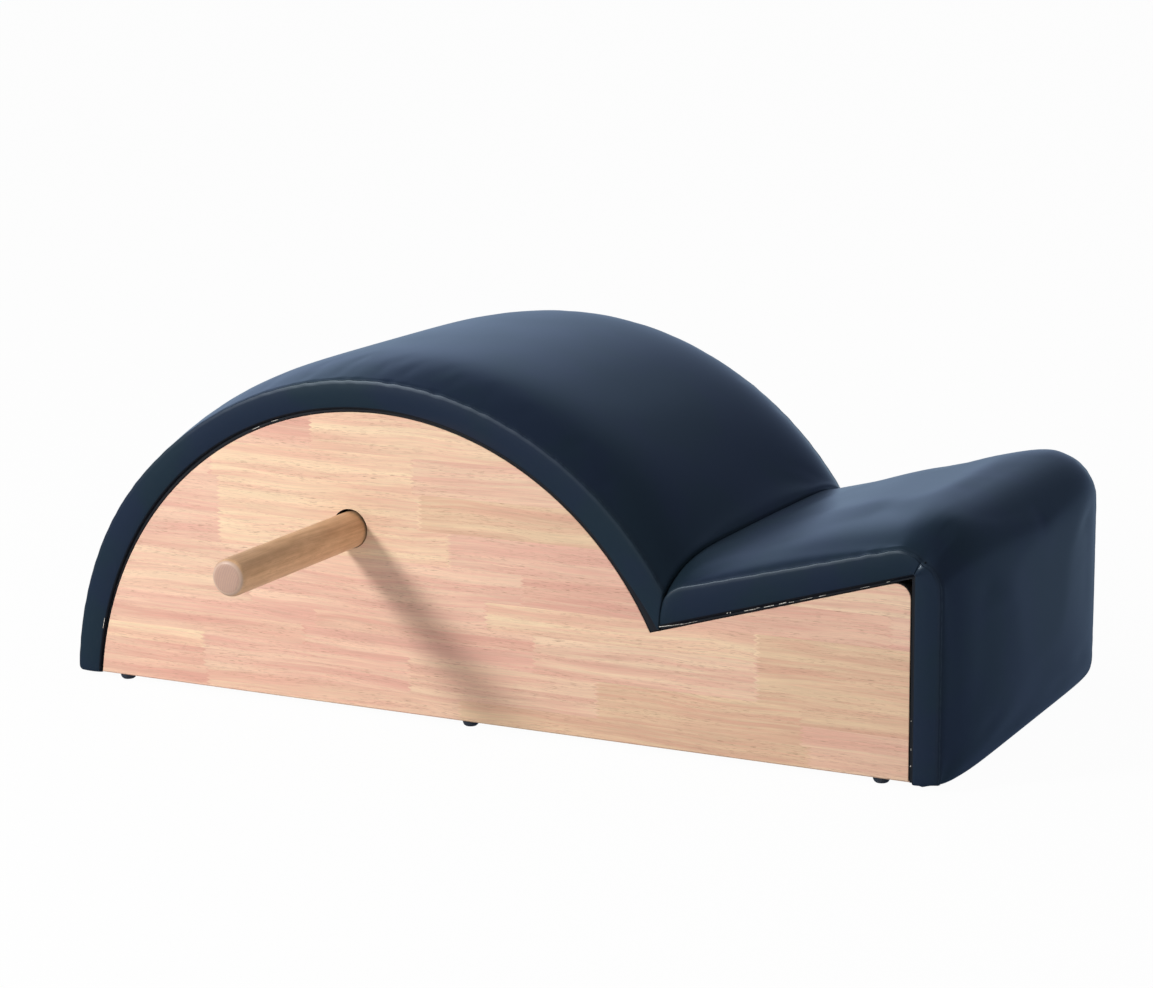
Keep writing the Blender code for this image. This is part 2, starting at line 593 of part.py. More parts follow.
def build():
    """Model every piece."""
    for old in list(bpy.data.objects):
        bpy.data.objects.remove(old, do_unlink=True)
    panel_wood = finish("panel_wood", (0.80, 0.57, 0.40), 0.48)
    handle_wood = finish("handle_wood", (0.72, 0.47, 0.30), 0.42)
    rail_wood = finish("rail_wood", (0.74, 0.55, 0.36), 0.62)
    plywood = finish("plywood", (0.66, 0.48, 0.31), 0.66)
    vinyl = finish("vinyl", (0.018, 0.026, 0.038), 0.40)
    rubber = finish("rubber", (0.020, 0.021, 0.023), 0.72)
    steel = finish("zinc_steel", (0.62, 0.62, 0.60), 0.34, 1.0)

    sides = {"right": -1, "left": 1}
    panels = {name: side_panel(f"side_panel_{name}", side, panel_wood) for name, side in sides.items()}
    deck = barrel_deck(plywood)
    seat = seat_board(plywood)
    front = front_board(plywood)
    cushion("barrel_pad", BARREL_RINGS, vinyl)
    cushion("seat_pad", SEAT_RINGS, vinyl)

    half = RAIL_WIDTH / 2
    chord = math.sqrt(ARC_RADIUS ** 2 - half ** 2) - CLEARANCE
    flange_chord = math.sqrt(DECK_OUTER_RADIUS ** 2 - NUT_FLANGE_RADIUS ** 2)
    deck_nut_top = RAIL_THICKNESS + flange_chord - chord - CLEARANCE
    board_nut_top = RAIL_THICKNESS + CLEARANCE + BOARD_THICKNESS
    mortises = []
    barrel_angles = {"crest_rail": CREST_RAIL_ANGLE, "back_rail": REAR_RAIL_ANGLE}
    for number, (name, angle) in enumerate(barrel_angles.items()):
        top = arc_point(chord, angle)
        tilt = math.pi / 2 - angle
        piece, mortise = rail(name, *top, tilt, rail_wood)
        mortises.append(mortise)
        bolt_row("barrel", 1 + 2 * number, piece, deck, top, tilt, deck_nut_top, steel)
    notch_rail_x = NOTCH_X + half * math.cos(SEAT_SLOPE)
    seat_places = {"notch_rail": notch_rail_x, "seat_rail": PANEL_LENGTH - SEAT_RAIL_SETBACK}
    for number, (name, x) in enumerate(seat_places.items()):
        top = (x, seat_line(x, -CLEARANCE))
        piece, mortise = rail(name, *top, -SEAT_SLOPE, rail_wood)
        mortises.append(mortise)
        bolt_row("seat", 1 + 2 * number, piece, seat, top, -SEAT_SLOPE, board_nut_top, steel)
    z = RAIL_LIFT + half
    top = (PANEL_LENGTH - CLEARANCE, z)
    piece, mortise = rail("front_rail", *top, math.pi / 2, rail_wood)
    mortises.append(mortise)
    bolt_row("front", 1, piece, front, top, math.pi / 2, board_nut_top, steel)
    rail_top = RAIL_LIFT + RAIL_WIDTH
    rear_face = ARC_CENTRE_X - math.sqrt(ARC_RADIUS ** 2 - (ARC_CENTRE_DROP + rail_top) ** 2) + CLEARANCE
    mortises.append(rail("rear_rail", rear_face, z, -math.pi / 2, rail_wood)[1])

    middle = PANEL_LENGTH / 2 - FOOT_MIDDLE_OFFSET
    foot_places = (FOOT_REAR_INSET, middle, PANEL_LENGTH - FOOT_FRONT_INSET)
    for name, side in sides.items():
        panel = panels[name]
        for mortise in mortises:
            cut(panel, mortise)
        handle_socket(f"handle_socket_{name}", side, panel, rail_wood)
        handle(f"handle_{name}", side, handle_wood)
        for end, x in zip(("rear", "middle", "front"), foot_places):
            foot(f"foot_{end}_{name}", x, side, panel, rubber)


build()
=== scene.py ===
"""Spine corrector: an upholstered barrel and sloped seat on two wooden side panels.

Sizes are metres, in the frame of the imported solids: +X towards the seat end, +Z up, the
floor at z = 0, and the side panel with the near handle at -Y.
"""
import math

import bmesh
import bpy
from mathutils import Matrix, Vector


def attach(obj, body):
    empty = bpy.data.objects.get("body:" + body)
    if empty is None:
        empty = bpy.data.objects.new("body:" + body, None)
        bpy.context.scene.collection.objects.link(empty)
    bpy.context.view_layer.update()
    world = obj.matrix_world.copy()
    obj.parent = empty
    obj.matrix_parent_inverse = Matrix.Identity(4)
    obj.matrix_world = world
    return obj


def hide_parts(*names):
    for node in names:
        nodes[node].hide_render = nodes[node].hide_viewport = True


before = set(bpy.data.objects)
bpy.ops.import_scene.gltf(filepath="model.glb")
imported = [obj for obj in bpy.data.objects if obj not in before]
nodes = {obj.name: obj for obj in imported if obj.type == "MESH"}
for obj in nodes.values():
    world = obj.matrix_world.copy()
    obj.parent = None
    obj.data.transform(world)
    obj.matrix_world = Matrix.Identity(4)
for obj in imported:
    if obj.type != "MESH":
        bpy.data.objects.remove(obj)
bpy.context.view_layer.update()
bpy.ops.object.select_all(action="DESELECT")


# The side panels are flat boards of finger-jointed hardwood staves, glued edge to edge, cut
# to the arched outline and lacquered. Their edges under the cover are painted near black as
# painted shade for the shadowed gap under the cover. The solids stay and get the staves,
# their zigzag joints, the grain and the pores.
ROSE = (0.765, 0.490, 0.370, 1.0)
PINK = (0.800, 0.535, 0.405, 1.0)
BEIGE = (0.800, 0.560, 0.410, 1.0)
CREAM = (0.830, 0.605, 0.425, 1.0)
TAN = (0.750, 0.525, 0.360, 1.0)
# Each row is the height where it begins, and its staves' left ends and tones.
STAVE_ROWS = (
    (0.000, ((-0.500, ROSE), (-0.310, BEIGE), (-0.020, TAN), (0.340, BEIGE))),
    (0.027, ((-0.500, ROSE), (-0.313, PINK), (-0.075, BEIGE), (0.127, TAN), (0.335, BEIGE))),
    (0.046, ((-0.500, CREAM), (-0.315, PINK), (-0.075, BEIGE), (0.127, TAN), (0.335, TAN))),
    (0.063, ((-0.500, ROSE), (-0.195, PINK), (0.062, BEIGE), (0.290, TAN))),
    (0.083, ((-0.500, PINK), (-0.180, ROSE), (0.062, BEIGE), (0.290, TAN))),
    (0.100, ((-0.500, BEIGE), (-0.255, PINK), (0.010, CREAM), (0.290, TAN))),
    (0.127, ((-0.500, BEIGE), (-0.210, PINK), (0.050, ROSE), (0.420, PINK))),
    (0.157, ((-0.500, PINK), (-0.290, CREAM), (-0.030, PINK), (0.240, BEIGE))),
    (0.190, ((-0.500, PINK), (-0.290, CREAM), (-0.062, TAN), (0.300, BEIGE))),
    (0.225, ((-0.500, PINK), (-0.300, CREAM), (-0.067, BEIGE), (0.300, TAN))),
    (0.260, ((-0.500, BEIGE), (-0.350, ROSE), (-0.180, CREAM), (0.120, PINK))))
PINK_TINT = (0.895, 0.750, 0.765, 1.0)
CREAM_TINT = (1.040, 1.070, 1.020, 1.0)
PORE_BROWN = (0.400, 0.215, 0.145, 1.0)
PAINTED_EDGE_SHADE = (0.006, 0.005, 0.005, 1.0)
PANEL_FACE_Y = 0.2235
EDGE_SHADE_DEPTH = 0.0196
EDGE_SHADE_INSET = 0.0004
EDGE_SHADE_BOTTOM = 0.0080
FINGER_HALF_PITCH = 0.0022
FINGER_SLOPE = 2.2
FINGER_MIDDLE = 0.0024
WOOD_PORES = 0.60


class Field:
    """A value, colour or vector that varies over a surface: one output of a shader node."""

    def __init__(self, tree, socket=None):
        self.tree = tree
        self.socket = socket

    def node(self, kind, settings=None, values=None, output=0):
        """Add a node, with its settings first and then the values or links of its sockets."""
        made = self.tree.nodes.new(kind)
        for key, value in (settings or {}).items():
            if key == "stops":
                stops = made.color_ramp.elements
                while len(stops) < len(value):
                    stops.new(1.0)
                for stop, (place, colour) in zip(stops, value):
                    stop.position = place
                    stop.color = colour
            elif key == "interpolation":
                made.color_ramp.interpolation = value
            else:
                setattr(made, key, value)
        for key, value in (values or {}).items():
            if isinstance(value, Field):
                self.tree.links.new(value.socket, made.inputs[key])
            else:
                made.inputs[key].default_value = value
        return Field(self.tree, made.outputs[output])

    def maths(self, operation, *values):
        return self.node("ShaderNodeMath", {"operation": operation}, dict(enumerate(values)))

    def __add__(self, other):
        return self.maths("ADD", self, other)

    def __radd__(self, other):
        return self.maths("ADD", other, self)

    def __sub__(self, other):
        return self.maths("SUBTRACT", self, other)

    def __rsub__(self, other):
        return self.maths("SUBTRACT", other, self)

    def __mul__(self, other):
        return self.maths("MULTIPLY", self, other)

    def __truediv__(self, other):
        return self.maths("DIVIDE", self, other)

    def __gt__(self, other):
        return self.maths("GREATER_THAN", self, other)

    def __lt__(self, other):
        return self.maths("LESS_THAN", self, other)

    def __abs__(self):
        return self.maths("ABSOLUTE", self)

    def rise(self, start, end):
        """0 before start, 1 after end, and an eased rise between them."""
        values = {"Value": self, "From Min": start, "From Max": end}
        return self.node("ShaderNodeMapRange", {"interpolation_type": "SMOOTHSTEP"}, values)

    def random(self):
        """A random number from 0 to 1 for each whole value."""
        return self.node("ShaderNodeTexWhiteNoise", {"noise_dimensions": "1D"}, {"W": self})

    def ramp(self, stops, interpolation="LINEAR"):
        settings = {"interpolation": interpolation, "stops": stops}
        return self.node("ShaderNodeValToRGB", settings, {"Fac": self})

    def mix(self, first, second):
        """The first colour where this field is 0, and the second where it is 1."""
        values = {0: self, 6: first, 7: second}
        return self.node("ShaderNodeMix", {"data_type": "RGBA"}, values, output=2)

    def times(self, colour):
        """This colour multiplied by another, channel by channel."""
        settings = {"data_type": "RGBA", "blend_type": "MULTIPLY"}
        return self.node("ShaderNodeMix", settings, {0: 1.0, 6: self, 7: colour}, output=2)

    def grey(self):
        return self.node("ShaderNodeCombineColor", values={0: self, 1: self, 2: self})

    def part(self, axis):
        """The x, y or z of a vector: axis 0, 1 or 2."""
        return self.node("ShaderNodeSeparateXYZ", values={0: self}, output=axis)


def new_finish(name, roughness):
    """A material and its parts: the material, its shader, and the object coordinates x, y, z."""
    material = bpy.data.materials.new(name)
    material.use_nodes = True
    shader = material.node_tree.nodes["Principled BSDF"]
    shader.inputs["Roughness"].default_value = roughness
    start = Field(material.node_tree)
    place = start.node("ShaderNodeTexCoord", output="Object")
    return material, shader, [place.part(axis) for axis in range(3)]


def stretched_noise(x, y, z, scales, detail=2.0, roughness=0.5):
    """Noise whose cells are as long as the scales say, in cells for each metre."""
    apart = {0: x * scales[0], 1: y * scales[1], 2: z * scales[2]}
    place = x.node("ShaderNodeCombineXYZ", values=apart)
    values = {"Vector": place, "Scale": 1.0, "Detail": detail, "Roughness": roughness}
    return x.node("ShaderNodeTexNoise", values=values)


def connect(shader, **fields):
    """Feed fields into the shader's sockets: Base_Color is the socket Base Color."""
    for key, field in fields.items():
        field.tree.links.new(field.socket, shader.inputs[key.replace("_", " ")])


def bump(height, strength, distance):
    """A normal from a height field."""
    values = {"Strength": strength, "Distance": distance, "Height": height}
    return height.node("ShaderNodeBump", values=values)


def wood_figure(along, across, depth, pore_level):
    """The broad streaks, fine streaks, fibres and pores of long-fibred wood, from 0 to 1."""
    drift = across + stretched_noise(along, across, depth, (4.5, 9.0, 6.0), 2.0) * 0.020
    broad = stretched_noise(along, drift, depth, (2.8, 80.0, 80.0), 3.0, 0.65)
    fine = stretched_noise(along, drift, depth, (8.0, 340.0, 340.0), 3.0, 0.7)
    fibres = stretched_noise(along, drift, depth, (30.0, 1100.0, 1100.0), 2.0)
    pores = stretched_noise(along, drift, depth, (95.0, 2100.0, 1100.0), 1.0)
    return broad, fine, fibres, pores.rise(pore_level, pore_level + 0.08)


panel_finish, shader, (x, y, z) = new_finish("staves", 0.46)
finger = z.maths("PINGPONG", z, FINGER_HALF_PITCH) * FINGER_SLOPE
stave_x = x + finger - FINGER_MIDDLE
for row, (line, staves) in enumerate(STAVE_ROWS):
    ramp = (stave_x + 0.5).ramp([(joint + 0.5, stain) for joint, stain in staves], "CONSTANT")
    number = sum((stave_x > joint for joint, stain in staves), row * 10.0)
    if row == 0:
        colour, stave = ramp, number
    else:
        above = z > line
        colour = above.mix(colour, ramp)
        stave = stave + above * (number - stave)
own = (stave + 0.5).random()
broad, fine, fibres, pores = wood_figure(x + own * 9.0, z + own * 3.0, y, WOOD_PORES)
rosy = (broad * 0.62 + fine * 0.38).rise(0.39, 0.61)
colour = colour.times(rosy.mix(CREAM_TINT, PINK_TINT))
blotch = stretched_noise(x + own * 4.0, z, y, (9.0, 34.0, 34.0), 2.0)
shade = 0.59 + own * 0.03 + fine * 0.40 + fibres * 0.28 + broad * 0.02 + blotch * 0.14
colour = colour.times(shade.grey())
speckle = stretched_noise(x + own * 5.0, z, y, (9.0, 90.0, 90.0), 1.0).rise(0.35, 0.65)
colour = (pores * (0.12 + speckle * 0.60)).mix(colour, PORE_BROWN)
# Painted shade: the edge strip just inside the face, under the cover, is made near black, and rougher
# so it keeps no sheen.
edge_shaded = (abs(y) < PANEL_FACE_Y - EDGE_SHADE_INSET) * (abs(y) > PANEL_FACE_Y - EDGE_SHADE_DEPTH)
edge_shaded = edge_shaded * (z > EDGE_SHADE_BOTTOM)
colour = edge_shaded.mix(colour, PAINTED_EDGE_SHADE)
connect(shader, Base_Color=colour, Roughness=0.44 + fibres * 0.10 + edge_shaded * 0.45,
        Normal=bump(fibres - pores * 0.8, 0.12, 0.0004))
for name in ("side_panel_right", "side_panel_left"):
    nodes[name].material_slots[0].material = panel_finish


# The handles are turned hardwood dowels, loose in their bores, so each one sags a little from
# the mouth of its hole. The grain runs along the dowel, and its upper side is painted darker
# as painted shade. The outer end is rounded over, and its flat face is sawn across the grain,
# paler and duller, with a painted highlight as a light ring round it on the rounding.
DOWEL_TAN = (0.860, 0.545, 0.315, 1.0)
DOWEL_BROWN = (0.560, 0.320, 0.165, 1.0)
DOWEL_END = (0.400, 0.255, 0.215, 1.0)
DOWEL_RING_HIGHLIGHT = (0.560, 0.400, 0.320, 1.0)
HANDLE_AXIS = (-0.1379, 0.1836)
HANDLE_RADIUS = 0.0178
HANDLE_END_ROUND = 0.0070
HANDLE_INNER_Y = 0.1440
HANDLE_OUTER_Y = 0.4380
HANDLE_SAG = math.radians(0.4)
HANDLE_SIDES = 96
END_SEGMENTS = 8
SHARP_EDGE = math.radians(60.0)
SMOOTH_EDGE = math.radians(35.0)
PITH_OFFSET = (0.055, -0.020)
RINGS_PER_METRE = 420.0
END_FACE = (HANDLE_OUTER_Y - 0.0009, HANDLE_OUTER_Y - 0.0003)
RING_HIGHLIGHT_SPAN = (HANDLE_OUTER_Y - 0.0036, HANDLE_OUTER_Y - 0.0016)
UPPER_SHADE = (-0.016, 0.012)

handle_finish, shader, (x, y, z) = new_finish("turned_dowel", 0.42)
broad, fine, fibres, pores = wood_figure(y, x, z, WOOD_PORES)
mottle = stretched_noise(x, y, z, (120.0, 45.0, 120.0), 3.0)
# Painted shade: the upper side of the dowel is darker, the lower side lighter.
upper_shade = (z - HANDLE_AXIS[1]).rise(*UPPER_SHADE)
tone = broad * 0.7 + fine * 0.6 + mottle * 0.5 - 0.30 - upper_shade * 0.25
colour = tone.ramp(((0.22, DOWEL_BROWN), (0.72, DOWEL_TAN)))
out_x = x - HANDLE_AXIS[0] - PITH_OFFSET[0]
out_z = z - HANDLE_AXIS[1] - PITH_OFFSET[1]
square = out_x * out_x + out_z * out_z
radius = square.maths("SQRT", square)
wobble = stretched_noise(x, y, z, (60.0, 4.0, 60.0), 2.0)
rings = (radius + wobble * 0.003) * RINGS_PER_METRE
ring = abs(rings.maths("FRACT", rings) - 0.5) * 2.0
end = abs(y).rise(*END_FACE)
# Painted highlight: a light ring on the rounded-over end.
ring_highlight = abs(y).rise(*RING_HIGHLIGHT_SPAN)
colour = (pores * 0.45).mix(colour, DOWEL_BROWN)
end_colour = (ring.rise(0.0, 0.8) * -0.10 + 0.15 + fine * 0.15).mix(DOWEL_END, DOWEL_TAN)
colour = end.mix((ring_highlight * 0.8).mix(colour, DOWEL_RING_HIGHLIGHT), end_colour)
connect(shader, Base_Color=colour, Roughness=0.40 + end * 0.25 + fibres * 0.06,
        Normal=bump(fibres - pores * 0.6, 0.15, 0.0004))

for name, side in (("right", -1.0), ("left", 1.0)):
    middle_y = (HANDLE_INNER_Y + HANDLE_OUTER_Y) / 2.0
    middle_z = HANDLE_AXIS[1] - (middle_y - PANEL_FACE_Y) * math.tan(HANDLE_SAG)
    bpy.ops.object.select_all(action="DESELECT")
    bpy.ops.mesh.primitive_cylinder_add(
        vertices=HANDLE_SIDES, radius=HANDLE_RADIUS, depth=HANDLE_OUTER_Y - HANDLE_INNER_Y,
        location=(HANDLE_AXIS[0], side * middle_y, middle_z),
        rotation=(math.pi / 2 - side * HANDLE_SAG, 0.0, 0.0))
    dowel = bpy.context.active_object
    dowel.name = "dowel_" + name
    bpy.ops.object.transform_apply(location=True, rotation=True, scale=True)
    rounding = dowel.modifiers.new("Rounding", "BEVEL")
    rounding.limit_method = "ANGLE"
    rounding.angle_limit = SHARP_EDGE
    rounding.width = HANDLE_END_ROUND
    rounding.segments = END_SEGMENTS
    bpy.ops.object.modifier_apply(modifier=rounding.name)
    bpy.ops.object.shade_smooth_by_angle(angle=SMOOTH_EDGE)
    dowel.data.materials.append(handle_finish)
    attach(dowel, "handle_" + name)
    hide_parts("handle_" + name)


# The cross rails and the handles' blocks are planed softwood, left bare: pale, with broad
# darker growth lines and no pores.
SOFTWOOD_PALE = (0.780, 0.600, 0.390, 1.0)
SOFTWOOD_LINE = (0.600, 0.390, 0.210, 1.0)
SOFTWOOD_PORES = 0.70

rail_finish, shader, (x, y, z) = new_finish("planed_softwood", 0.62)
broad, fine, fibres, pores = wood_figure(y, x, z, SOFTWOOD_PORES)
colour = (broad + fine * 0.5 - 0.25).ramp(((0.25, SOFTWOOD_LINE), (0.50, SOFTWOOD_PALE)))
connect(shader, Base_Color=colour, Normal=bump(fibres + fine, 0.18, 0.0005))
for name in nodes:
    if name.endswith("_rail") or name.startswith("handle_socket"):
        nodes[name].material_slots[0].material = rail_finish


# The curved deck and the flat boards under the upholstery are sanded plywood, bent or cut
# flat. Their edges show the plies, and near the sides they are painted near black as painted
# shade for the dark gap under the cover.
PLY_FACE = (0.700, 0.520, 0.330, 1.0)
PLY_DARK = (0.480, 0.320, 0.190, 1.0)
GAP_SHADE_BLACK = (0.004, 0.006, 0.009, 1.0)
PLY_PITCH = 0.0015
PLY_PORES = 0.66
MARGIN_Y = 0.2190
MARGIN_BLUR = 0.0006
ARC_CENTRE = (-0.11186, -0.0287)
SEAT_ANGLE = math.radians(16.6)


def plywood(name, height):
    """Plywood whose plies are stacked along a height field, in metres."""
    material, shader, (x, y, z) = new_finish(name, 0.66)
    up = height(x, z)
    broad, fine, fibres, pores = wood_figure(y, x, z, PLY_PORES)
    colour = (broad * 1.2 - 0.1).ramp(((0.10, PLY_DARK), (0.60, PLY_FACE)))
    plies = up / PLY_PITCH
    ply = plies.maths("PINGPONG", plies, 1.0).rise(0.45, 0.55)
    colour = (ply * 0.35).mix(colour, PLY_DARK)
    # Painted shade: near black towards the sides, for the shaded gap between the cover and the panel.
    colour = abs(y).rise(MARGIN_Y - MARGIN_BLUR, MARGIN_Y).mix(colour, GAP_SHADE_BLACK)
    connect(shader, Base_Color=colour, Normal=bump(fibres, 0.2, 0.0004))
    return material


def height_over_arc(x, z):
    across = x - ARC_CENTRE[0]
    up = z - ARC_CENTRE[1]
    square = across * across + up * up
    return square.maths("SQRT", square)


def height_over_seat(x, z):
    return z * math.cos(SEAT_ANGLE) - x * math.sin(SEAT_ANGLE)


nodes["barrel_deck"].material_slots[0].material = plywood("bent_plywood", height_over_arc)
nodes["seat_board"].material_slots[0].material = plywood("seat_plywood", height_over_seat)
nodes["front_board"].material_slots[0].material = plywood("front_plywood", lambda x, z: x)


# The bolts and tee nuts are zinc-plated steel, a little mottled and scratched.
ZINC_LIGHT = (0.680, 0.690, 0.680, 1.0)
ZINC_DARK = (0.460, 0.480, 0.470, 1.0)

zinc_finish, shader, (x, y, z) = new_finish("zinc_plate", 0.34)
shader.inputs["Metallic"].default_value = 1.0
mottle = stretched_noise(x, y, z, (420.0, 420.0, 420.0), 3.0)
connect(shader, Base_Color=mottle.ramp(((0.35, ZINC_DARK), (0.65, ZINC_LIGHT))),
        Roughness=0.26 + mottle * 0.2, Normal=bump(mottle, 0.15, 0.0002))
for name in nodes:
    if "bolt" in name or "tee_nut" in name:
        nodes[name].material_slots[0].material = zinc_finish


# The feet are moulded black rubber domes on stems that are pushed up into the panels. They
# are paler grey for their lowest few millimetres, where they meet the floor.
RUBBER_BLACK = (0.030, 0.038, 0.050, 1.0)
RUBBER_GREYER = (0.075, 0.078, 0.082, 1.0)
GREYING_HEIGHT = 0.0025

rubber_finish, shader, (x, y, z) = new_finish("moulded_rubber", 0.40)
speckle = stretched_noise(x, y, z, (900.0, 900.0, 900.0), 2.0)
greying = 1.0 - z / GREYING_HEIGHT
greying = greying.maths("MAXIMUM", greying, 0.0)
connect(shader, Base_Color=(greying * 0.5 + speckle * 0.15).mix(RUBBER_BLACK, RUBBER_GREYER),
        Normal=bump(speckle, 0.2, 0.0003))
for name in nodes:
    if name.startswith("foot_"):
        nodes[name].material_slots[0].material = rubber_finish


# The barrel's cushion is a boxed pad: smooth dark vinyl over foam, sewn along a seam between
# the side band and the crowned top, pulled tight over the curved deck and stapled below it.
# Its section is swept along its own lines, then swelled as cloth and evened out.
PAD_HALF = 0.2255
SEAM_Y = 0.2240
ARC_RADIUS = 0.3300
DECK_TOP = 0.0096
DECK_BUTT_RISE = 0.05539
PANEL_BOTTOM = 0.0063
BUTT_FOOT = (0.19191, 0.12010)
BUTT_LEAN = math.radians(8.0)
BARREL_BAND = 0.0312
REAR_BAND = 0.0275
BARREL_HEIGHT = 0.0488
BARREL_DROP = 0.0010
BARREL_LIP = 0.0019
REAR_LIP_DROP = 0.0012
REAR_TAPER_START = 0.80
REAR_TURN = (0.003, 0.008)
NOTCH_LIFT = 0.0055
NOTCH_REACH = 0.060
# Each local change is its amount, and its place and spread as shares of the length. The gathers'
# and the seat's have theirs in metres.
BAND_THICKER = (0.0030, 0.79, 0.11)
CROWN_FULLER = (0.0030, 0.24, 0.14)
CROWN_FLATTER = (0.0018, 0.50, 0.09)
LIP_WIDER = (0.0017, 0.66, 0.22)
BARREL_GATHER = 0.35
GATHER_MORE = (0.65, 0.33, 0.14)

# The section: the lip's columns are (level, lift, y beyond the panel's face, from_seam).
LIP_COLUMNS = (
    (-1.0, 0.0000, 0.0000, -0.040), (0.0, 0.0016, -0.0010, -0.036), (0.0, 0.0004, -0.0004, -0.034),
    (0.0, 0.0000, 0.0006, -0.033), (0.0, 0.0005, 0.0014, -0.032))
BAND_FOOT_LIFT = 0.0014
BAND_ACROSS = 0.030
BAND_SHARES = (0.12, 0.22, 0.34, 0.46, 0.58, 0.68, 0.77, 0.84, 0.90)
BAND_SWELL = 0.0016
RIDGE_OUT = 0.0002
RIDGE_RADIUS = 0.0020
RIDGE_TURNS = (0, 25, 50, 75, 100)
SEAM_STEP = 0.0006
SEAM_STEP_INSET = 0.0036
SEAM_STEP_WAY = 0.0024
SEAM_DIP = (0.0044, 0.0040)
SEAM_INSET = 0.0014
HELD_INSET = 0.006
CROWN_INSETS = (0.0050, 0.0064, 0.0082, 0.0110, 0.0150, 0.0200, 0.0260, 0.0320, 0.0380)
CROWN_POWER = 6.7
TOP_INSET = 0.0445
TOP_COLUMNS = 50

# The sweep: how close the stations lie, and how the cover is gathered, folded and rounded.
STATION_STEP = 0.0040
STATION_GAP = 0.0018
END_STATIONS = (0.0, 0.0006, 0.0016, 0.0032, 0.0055, 0.0085, 0.0120)
CREASE_STEP = 0.0006
CREASE_STEPS = 8
BESIDE_CREASE = 0.0048
BESIDE_STEP = 0.0012
BESIDE_STEPS = 10
RIPPLE_WAVES = ((0.0170, 0.45, 0.3), (0.0263, 0.35, 1.9), (0.0431, 0.20, 4.1))
PUCKER_DEPTH = 0.0007
PUCKER_REACH = 0.006
PUCKER_BELOW = 0.009
PLEAT_DEPTH = 0.0026
PLEAT_SPREAD = 0.0070
PLEAT_WIDENING = 0.5
PLEAT_REACH = 0.010
FAR_PLEAT = 0.25
FOLD_DEPTH = 0.0012
FOLD_WIDTH = 0.0011
FOLD_FADE = 0.4
FOLD_END = 0.003
# Beside each crease the band laps over: by how much, how far along, and over what spread.
LAP = (0.0009, 0.0070, 0.0055)
EDGE_REACH = 0.012
HELD_END = 0.004
CORNER_SPREAD = 0.0180
CORNER_REACH = 0.0200

# The swelling: the cap on each point's move, and the cloth's pressure, shrink and evening.
COVER_SWELL = 0.0030
COVER_SHRINK = 0.003
COVER_PRESSURE = 4.0
CLOTH_FRAMES = 20
CALM_REACH = 0.040
BARREL_EVENING = 6


def section_columns():
    """The cover's section from one side's pocket over the crown to the other's.

    Each column is (level, lift, y, from_seam, held): the level is 0 at the lip, 1 at the
    seam and 2 at the crown, the lift is metres beyond that level, from_seam is the way along
    the cover to the seam's ridge, and held columns stay where they are.
    """
    side = []
    for level, lift, out, from_seam in LIP_COLUMNS:
        side.append((level, lift, PANEL_FACE_Y + out, from_seam, True))
    side.append((0.0, BAND_FOOT_LIFT, PAD_HALF, -BAND_ACROSS, True))
    for share in BAND_SHARES:
        out = BAND_SWELL * math.sin(math.pi * share)
        side.append((share, 0.0, PAD_HALF + out, (share - 1.0) * BAND_ACROSS, True))
    ridge_y = PAD_HALF + RIDGE_OUT - RIDGE_RADIUS
    for turn in RIDGE_TURNS:
        angle = math.radians(turn)
        lift = RIDGE_RADIUS * (math.sin(angle) - 1.0)
        from_seam = RIDGE_RADIUS * (angle - math.pi / 2)
        side.append((1.0, lift, ridge_y + RIDGE_RADIUS * math.cos(angle), from_seam, True))
    side.append((1.0, SEAM_STEP, PAD_HALF - SEAM_STEP_INSET, SEAM_STEP_WAY, True))
    for inset in CROWN_INSETS:
        y = PAD_HALF - inset
        level = 2.0 - (y / SEAM_Y) ** CROWN_POWER
        dip = -SEAM_STEP * bell(inset - SEAM_DIP[0], SEAM_DIP[1])
        side.append((level, dip, y, inset - SEAM_INSET, inset < HELD_INSET))
    top = []
    for step in range(TOP_COLUMNS + 1):
        y = (PAD_HALF - TOP_INSET) * (1.0 - 2.0 * step / TOP_COLUMNS)
        level = 2.0 - abs(y / SEAM_Y) ** CROWN_POWER
        top.append((level, 0.0, y, PAD_HALF - abs(y) - SEAM_INSET, False))
    other = [(level, lift, -y, *rest) for level, lift, y, *rest in reversed(side)]
    return side + top + other


def ripple(length):
    """An uneven wave along the seam, from -1 to 1. Each wave is its pitch, size and turn."""
    return sum(size * math.sin(2 * math.pi * length / pitch + turn)
               for pitch, size, turn in RIPPLE_WAVES)


def turn_in(distance, reach):
    """1 at a pad's end, easing to 0 at the reach as a rounded corner does."""
    return 1.0 - math.sqrt(max(0.0, 1.0 - max(0.0, 1.0 - distance / reach) ** 2))


def bell(distance, width):
    """1 at no distance, falling off on both sides over the width."""
    return math.exp(-(distance / width) ** 2)


def stations(length, creases):
    """Distances along a pad, close together at both ends and at each crease."""
    count = int(length / STATION_STEP)
    places = [length * step / count for step in range(1, count)]
    ends = list(END_STATIONS) + [length - place for place in END_STATIONS]
    near = []
    for crease in creases:
        near += [crease + CREASE_STEP * step for step in range(-CREASE_STEPS, CREASE_STEPS + 1)]
        for side in (-1, 1):
            for step in range(1, BESIDE_STEPS + 1):
                near.append(crease + side * (BESIDE_CREASE + BESIDE_STEP * step))
    for close in (ends, near):
        places = [place for place in places
                  if all(abs(place - other) > STATION_GAP for other in close)] + close
    return sorted(places)


